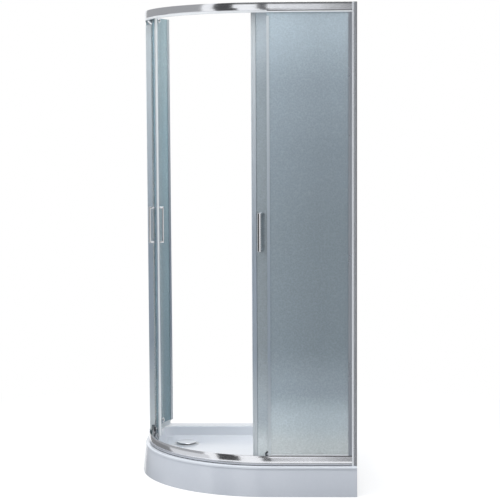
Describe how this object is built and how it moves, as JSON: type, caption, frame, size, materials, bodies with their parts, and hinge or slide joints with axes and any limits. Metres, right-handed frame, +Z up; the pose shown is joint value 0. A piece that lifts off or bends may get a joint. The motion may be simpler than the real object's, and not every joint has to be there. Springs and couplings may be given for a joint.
{
  "type": "quadrant shower enclosure",
  "caption": "Quadrant shower enclosure: low curved tray with apron, curved rails, frosted fixed panels and sliding curved doors on rollers.",
  "frame": {"origin": "middle of the square 900 mm footprint, at floor level", "axes": "+X towards the right-hand wall, +Y towards the back wall, +Z up; the room's walls are x = 0.45 and y = 0.45 and the curved front faces -X -Y"},
  "size_m": [0.9, 0.9, 1.95],
  "materials": {
    "acrylic": "gloss",
    "galvanised": "satin zinc",
    "board": "raw board",
    "black_plastic": "matte",
    "pipe_plastic": "satin",
    "rubber": "matte",
    "chrome": "polished",
    "polished_rail": "polished",
    "steel": "satin",
    "cast_block": "matte",
    "frosted_glass": "fabric-patterned, frosted",
    "seal": "clear soft plastic",
    "washer": "clear nylon",
    "wheel_plastic": "acetal"
  },
  "bodies": {
    "enclosure": {"apron_clips": "galvanised", "bottom_rail": "polished_rail", "foot_pads": "black_plastic", "foot_studs": "galvanised", "front_apron": "acrylic", "left_door_stop": "rubber", "left_edge_seal": "seal", "left_fixed_glass": "frosted_glass", "left_glazing_gaskets": "seal", "left_post": "polished_rail", "left_post_screws": "steel", "left_profile_plug": "polished_rail", "left_rail_joiners": "cast_block", "left_wall_profile": "polished_rail", "right_door_stop": "rubber", "right_edge_seal": "seal", "right_fixed_glass": "frosted_glass", "right_glazing_gaskets": "seal", "right_post": "polished_rail", "right_post_screws": "steel", "right_profile_plug": "polished_rail", "right_rail_joiners": "cast_block", "right_wall_profile": "polished_rail", "support_board": "board", "support_frame": "galvanised", "top_rail": "polished_rail", "tray_shell": "acrylic", "waste_flange": "pipe_plastic", "waste_gasket": "rubber", "waste_trap": "pipe_plastic"},
    "right_door": {"right_door_glass": "frosted_glass", "right_leading_seal": "seal", "right_trailing_seal": "seal", "right_bottom_wiper": "seal", "right_outer_handle": "chrome", "right_inner_handle": "chrome", "right_handle_studs": "steel", "right_handle_washers": "washer", "right_roller_axles": "steel", "right_roller_caps": "chrome"},
    "right_top_lead_wheel": {"right_top_lead_wheel": "wheel_plastic"},
    "right_top_trail_wheel": {"right_top_trail_wheel": "wheel_plastic"},
    "right_bottom_lead_wheel": {"right_bottom_lead_wheel": "wheel_plastic"},
    "right_bottom_trail_wheel": {"right_bottom_trail_wheel": "wheel_plastic"},
    "left_door": {"left_door_glass": "frosted_glass", "left_leading_seal": "seal", "left_trailing_seal": "seal", "left_bottom_wiper": "seal", "left_outer_handle": "chrome", "left_inner_handle": "chrome", "left_handle_studs": "steel", "left_handle_washers": "washer", "left_roller_axles": "steel", "left_roller_caps": "chrome"},
    "left_top_lead_wheel": {"left_top_lead_wheel": "wheel_plastic"},
    "left_top_trail_wheel": {"left_top_trail_wheel": "wheel_plastic"},
    "left_bottom_lead_wheel": {"left_bottom_lead_wheel": "wheel_plastic"},
    "left_bottom_trail_wheel": {"left_bottom_trail_wheel": "wheel_plastic"},
    "cover": {"waste_cover": "chrome"}
  },
  "joints": [
    {"name": "right_door_travel", "type": "hinge", "parent": "enclosure", "child": "right_door", "pos_m": [0.17933, 0.29479, 0.12], "axis": [0, 0, 1], "range_deg": [-26.04, 0]},
    {"name": "right_top_lead_spin", "type": "hinge", "parent": "right_door", "child": "right_top_lead_wheel", "pos_m": [0.09596, -0.40234, 1.9315], "axis": [0.2014, 0.9795, 0], "range_deg": [-1650, 5]},
    {"name": "right_top_trail_spin", "type": "hinge", "parent": "right_door", "child": "right_top_trail_wheel", "pos_m": [0.30404, -0.40234, 1.9315], "axis": [-0.2014, 0.9795, 0], "range_deg": [-1642, 5]},
    {"name": "right_bottom_lead_spin", "type": "hinge", "parent": "right_door", "child": "right_bottom_lead_wheel", "pos_m": [0.09596, -0.40234, 0.1636], "axis": [0.2014, 0.9795, 0], "range_deg": [-1578, 5]},
    {"name": "right_bottom_trail_spin", "type": "hinge", "parent": "right_door", "child": "right_bottom_trail_wheel", "pos_m": [0.30404, -0.40234, 0.1636], "axis": [-0.2014, 0.9795, 0], "range_deg": [-1571, 5]},
    {"name": "left_door_travel", "type": "hinge", "parent": "enclosure", "child": "left_door", "pos_m": [0.29479, 0.17933, 0.12], "axis": [0, 0, 1], "range_deg": [0, 26.04]},
    {"name": "left_top_lead_spin", "type": "hinge", "parent": "left_door", "child": "left_top_lead_wheel", "pos_m": [-0.40234, 0.09596, 1.9315], "axis": [0.9795, 0.2014, 0], "range_deg": [-5, 1650]},
    {"name": "left_top_trail_spin", "type": "hinge", "parent": "left_door", "child": "left_top_trail_wheel", "pos_m": [-0.40234, 0.30404, 1.9315], "axis": [0.9795, -0.2014, 0], "range_deg": [-5, 1642]},
    {"name": "left_bottom_lead_spin", "type": "hinge", "parent": "left_door", "child": "left_bottom_lead_wheel", "pos_m": [-0.40234, 0.09596, 0.1636], "axis": [0.9795, 0.2014, 0], "range_deg": [-5, 1578]},
    {"name": "left_bottom_trail_spin", "type": "hinge", "parent": "left_door", "child": "left_bottom_trail_wheel", "pos_m": [-0.40234, 0.30404, 0.1636], "axis": [0.9795, -0.2014, 0], "range_deg": [-5, 1571]},
    {"name": "cover_lift", "type": "slide", "parent": "enclosure", "child": "cover", "axis": [0, 0, 1], "range_m": [0, 0.03]}
  ],
  "couplings": [
    {"joint": "right_top_lead_spin", "follows": "right_door_travel", "ratio": 63.16},
    {"joint": "right_top_trail_spin", "follows": "right_door_travel", "ratio": 62.881},
    {"joint": "right_bottom_lead_spin", "follows": "right_door_travel", "ratio": 60.414},
    {"joint": "right_bottom_trail_spin", "follows": "right_door_travel", "ratio": 60.147},
    {"joint": "left_top_lead_spin", "follows": "left_door_travel", "ratio": 63.16},
    {"joint": "left_top_trail_spin", "follows": "left_door_travel", "ratio": 62.881},
    {"joint": "left_bottom_lead_spin", "follows": "left_door_travel", "ratio": 60.414},
    {"joint": "left_bottom_trail_spin", "follows": "left_door_travel", "ratio": 60.147}
  ]
}
